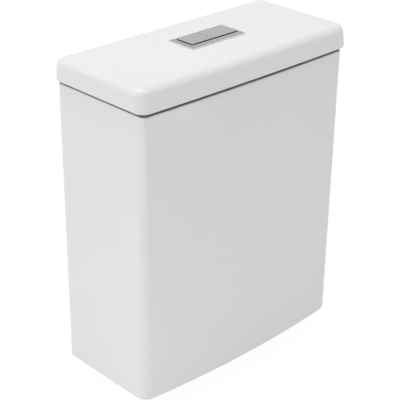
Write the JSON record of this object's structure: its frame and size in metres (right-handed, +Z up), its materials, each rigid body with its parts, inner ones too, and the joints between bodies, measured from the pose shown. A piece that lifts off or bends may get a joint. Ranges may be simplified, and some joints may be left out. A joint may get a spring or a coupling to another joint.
{
  "type": "toilet cistern",
  "caption": "Close-coupled toilet cistern: glazed ceramic tank and lift-off lid with a rectangular dual-flush button unit, flush valve, fill valve and pan coupling fittings.",
  "frame": {"origin": "on the flush outlet's vertical axis, at the plane of the ceramic tank's foot", "axes": "+Z up, +Y towards the wall behind the cistern, +X to the right seen from the front"},
  "size_m": [0.3642, 0.1716, 0.4725],
  "materials": {
    "glazed_china": "gloss white glaze",
    "satin_chrome": "satin plated",
    "white_plastic": "moulded",
    "grey_plastic": "moulded",
    "blue_plastic": "moulded",
    "black_rubber": "matt",
    "black_foam": "closed-cell foam",
    "zinc_steel": "zinc plated",
    "spring_steel": "drawn wire and turned rod",
    "brass": "machined",
    "mesh_plastic": "moulded mesh"
  },
  "bodies": {
    "tank": {"tank": "glazed_china", "valve_base": "white_plastic", "base_seal": "black_rubber", "shank_washer": "grey_plastic", "shank_backnut": "white_plastic", "pan_gasket": "black_foam", "valve_cage": "white_plastic", "valve_tower": "grey_plastic", "tower_head": "grey_plastic", "lever_pin": "spring_steel", "coupling_bolts": "zinc_steel", "bolt_seals": "black_rubber", "bolt_head_washers": "zinc_steel", "floor_washers": "zinc_steel", "floor_nuts": "zinc_steel", "pan_rubber_washers": "black_rubber", "pan_steel_washers": "zinc_steel", "wing_nuts": "grey_plastic", "fill_valve_body": "white_plastic", "fill_inlet_seal": "black_rubber", "fill_washer": "black_rubber", "fill_backnut": "brass", "inlet_strainer": "mesh_plastic", "fill_diaphragm": "black_rubber", "fill_cap": "white_plastic", "arm_pin": "spring_steel", "fill_pipe": "grey_plastic"},
    "lid": {"lid": "glazed_china", "lid_pads": "black_rubber", "button_bezel": "satin_chrome", "button_housing": "white_plastic", "clamp_cup": "white_plastic", "clamp_nut": "white_plastic", "half_button_spring": "spring_steel", "full_button_spring": "spring_steel"},
    "half_button": {"half_flush_button": "satin_chrome", "half_push_rod": "spring_steel", "half_stem_clip": "spring_steel"},
    "full_button": {"full_flush_button": "satin_chrome", "full_push_rod": "spring_steel", "full_stem_clip": "spring_steel"},
    "half_lever": {"half_lever": "blue_plastic"},
    "full_lever": {"full_lever": "blue_plastic"},
    "valve_tube": {"overflow_tube": "grey_plastic", "valve_seal": "black_rubber", "seal_retainer": "grey_plastic", "full_flush_float": "blue_plastic", "lift_hanger": "grey_plastic"},
    "half_float": {"half_float_rod": "blue_plastic", "half_flush_float": "blue_plastic"},
    "fill_float": {"fill_float": "blue_plastic", "float_rod": "spring_steel", "rod_clips": "spring_steel"},
    "fill_arm": {"fill_arm": "grey_plastic"}
  },
  "joints": [
    {"name": "lid_lift", "type": "slide", "parent": "tank", "child": "lid", "axis": [0, 0, 1], "range_m": [0, 0.15]},
    {"name": "half_button_press", "type": "slide", "parent": "lid", "child": "half_button", "axis": [0, 0, -1], "range_m": [0, 0.005], "stiffness_N_per_m": 1200, "springref_m": -0.002, "deforming": ["half_button_spring"]},
    {"name": "full_button_press", "type": "slide", "parent": "lid", "child": "full_button", "axis": [0, 0, -1], "range_m": [0, 0.005], "stiffness_N_per_m": 1200, "springref_m": -0.002, "deforming": ["full_button_spring"]},
    {"name": "half_lever_rock", "type": "hinge", "parent": "tank", "child": "half_lever", "pos_m": [-0.0035, -0.0084, 0.3442], "axis": [-1, 0, 0], "range_deg": [0, 24]},
    {"name": "full_lever_rock", "type": "hinge", "parent": "tank", "child": "full_lever", "pos_m": [0.0115, -0.0084, 0.3442], "axis": [-1, 0, 0], "range_deg": [0, 24]},
    {"name": "valve_lift", "type": "slide", "parent": "tank", "child": "valve_tube", "axis": [0, 0, 1], "range_m": [0, 0.0075]},
    {"name": "half_float_lift", "type": "slide", "parent": "tank", "child": "half_float", "axis": [0, 0, 1], "range_m": [0, 0.0075]},
    {"name": "fill_float_slide", "type": "slide", "parent": "tank", "child": "fill_float", "axis": [0, 0, 1], "range_m": [0, 0.009]},
    {"name": "fill_arm_rock", "type": "hinge", "parent": "tank", "child": "fill_arm", "pos_m": [0.115, 0.02, 0.3302], "axis": [0, 1, 0], "range_deg": [0, 17.5]}
  ],
  "couplings": [
    {"joint": "half_lever_rock", "follows": "half_button_press", "rad_per_m": 83.776},
    {"joint": "full_lever_rock", "follows": "full_button_press", "rad_per_m": 83.776},
    {"joint": "valve_lift", "follows": "full_button_press", "ratio": 1.5},
    {"joint": "half_float_lift", "follows": "half_button_press", "ratio": 1.5},
    {"joint": "fill_arm_rock", "follows": "fill_float_slide", "rad_per_m": 33.937}
  ]
}
